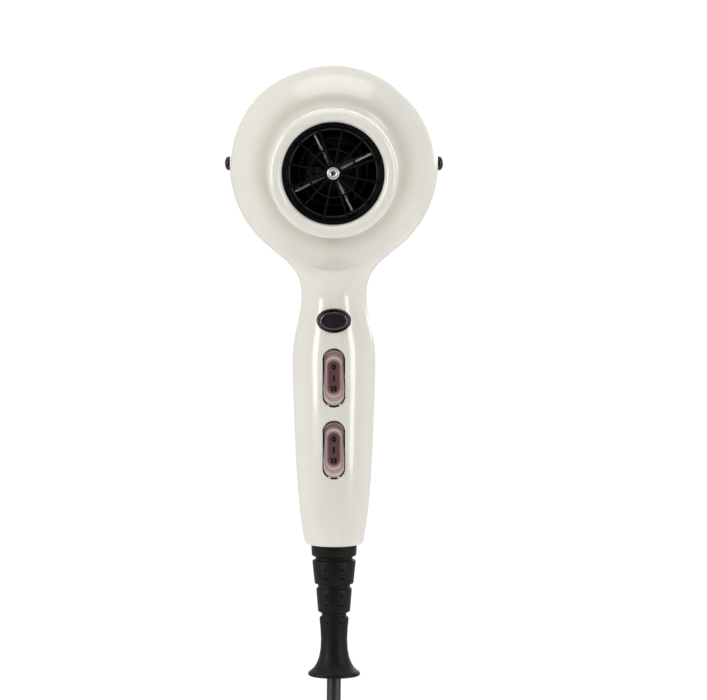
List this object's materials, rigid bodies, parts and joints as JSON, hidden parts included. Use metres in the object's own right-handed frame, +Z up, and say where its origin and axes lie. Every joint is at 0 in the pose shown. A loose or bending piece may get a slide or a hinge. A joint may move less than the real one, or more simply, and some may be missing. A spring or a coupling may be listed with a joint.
{
  "type": "hair dryer",
  "caption": "Hand-held hair dryer: round head with a barrel outlet, hanging handle with two rocker switches and a cool-shot button, cord and plug.",
  "frame": {"origin": "on the barrel axis, in the middle of the outlet ring's round seating land", "axes": "-Y is the way the air leaves, +Z is up, the handle hangs along -Z, +X is to the right of someone who faces the outlet"},
  "size_m": [0.0952, 0.1395, 0.5391],
  "materials": {
    "white_shell": "pearl ivory gloss",
    "white_ring": "ivory gloss",
    "black_grille": "satin heat-resistant black",
    "eyelet_metal": "plated eyelet",
    "shield_metal": "thin steel, slightly heat-tinted",
    "mica": "pale mica board",
    "heating_wire": "oxidised resistance wire",
    "black_bakelite": "matt",
    "fuse_metal": "satin",
    "grey_carrier": "glass-filled nylon",
    "motor_steel": "zinc plated",
    "white_nylon": "moulded",
    "sintered_bronze": "sintered",
    "magnet_ferrite": "ferrite",
    "lamination_steel": "stacked laminations",
    "enamelled_copper": "enamelled copper wire",
    "commutator_copper": "turned copper",
    "polished_steel": "ground",
    "carbon": "carbon",
    "spring_brass": "strip",
    "circuit_board": "phenolic board",
    "diode_black": "moulded epoxy",
    "impeller_plastic": "moulded",
    "black_plastic": "satin",
    "mesh_steel": "woven mesh",
    "screw_steel": "zinc plated",
    "black_caps": "gloss",
    "switch_nylon": "moulded",
    "brown_rocker": "mauve-brown gloss",
    "terminal_brass": "tinned",
    "black_bezel": "gloss",
    "dark_button": "dark purple-black gloss",
    "spring_steel": "wire",
    "black_rubber": "matt",
    "brown_insulation": "insulation",
    "blue_insulation": "insulation",
    "black_cord": "satin sheath",
    "tie_fabric": "hook-and-loop strap",
    "black_plug": "moulded",
    "pin_nickel": "nickel plated"
  },
  "bodies": {
    "root": {"brush_springs": "spring_brass", "brushes": "carbon", "clamp_screws": "screw_steel", "cool_shot_bezel": "black_bezel", "cool_shot_spring": "spring_steel", "cool_shot_switch": "switch_nylon", "cord_clamp": "white_nylon", "cord_hank": "black_cord", "cord_inner_end": "black_cord", "diodes": "diode_black", "front_bearing": "sintered_bronze", "front_grille": "black_grille", "front_shell": "white_shell", "hank_tie": "tie_fabric", "heat_rocker_pin": "polished_steel", "heat_shield": "shield_metal", "heat_switch_body": "switch_nylon", "heating_coils": "heating_wire", "hub_eyelet": "eyelet_metal", "live_wire": "brown_insulation", "mica_board_a": "mica", "mica_board_b": "mica", "motor_can": "motor_steel", "motor_carrier": "grey_carrier", "motor_end_cap": "white_nylon", "motor_magnets": "magnet_ferrite", "neutral_wire": "blue_insulation", "outlet_ring": "white_ring", "plug_body": "black_plug", "plug_cord": "black_cord", "plug_pins": "pin_nickel", "power_cord": "black_cord", "rear_bearing": "sintered_bronze", "rear_shell": "white_shell", "rectifier_board": "circuit_board", "shell_screws": "screw_steel", "side_screw_caps": "black_caps", "side_screws": "screw_steel", "speed_rocker_pin": "polished_steel", "speed_switch_body": "switch_nylon", "strain_relief": "black_rubber", "switch_terminals": "terminal_brass", "terminal_block": "white_nylon", "thermal_fuse": "fuse_metal", "thermostat": "black_bakelite"},
    "fan_rotor": {"motor_shaft": "polished_steel", "armature_core": "lamination_steel", "armature_windings": "enamelled_copper", "commutator": "commutator_copper", "impeller": "impeller_plastic"},
    "speed_rocker": {"speed_rocker": "brown_rocker"},
    "heat_rocker": {"heat_rocker": "brown_rocker"},
    "cool_shot_button": {"cool_shot_button": "dark_button"},
    "filter_cap": {"rear_filter_cap": "black_plastic", "filter_mesh": "mesh_steel"}
  },
  "joints": [
    {"name": "fan_spin", "type": "hinge", "parent": "root", "child": "fan_rotor", "pos_m": [0, 0.09, 0], "axis": [0, 1, 0], "continuous": true},
    {"name": "speed_rocker_tilt", "type": "hinge", "parent": "root", "child": "speed_rocker", "pos_m": [0, 0.06672, -0.0915], "axis": [1, 0, 0], "range_deg": [0, 24]},
    {"name": "heat_rocker_tilt", "type": "hinge", "parent": "root", "child": "heat_rocker", "pos_m": [0, 0.06777, -0.1229], "axis": [1, 0, 0], "range_deg": [0, 24]},
    {"name": "cool_shot_press", "type": "slide", "parent": "root", "child": "cool_shot_button", "axis": [0, 1, 0], "range_m": [0, 0.0025], "stiffness_N_per_m": 600, "deforming": ["cool_shot_spring"]},
    {"name": "filter_cap_pull", "type": "slide", "parent": "root", "child": "filter_cap", "axis": [0, 1, 0], "range_m": [0, 0.03]}
  ]
}
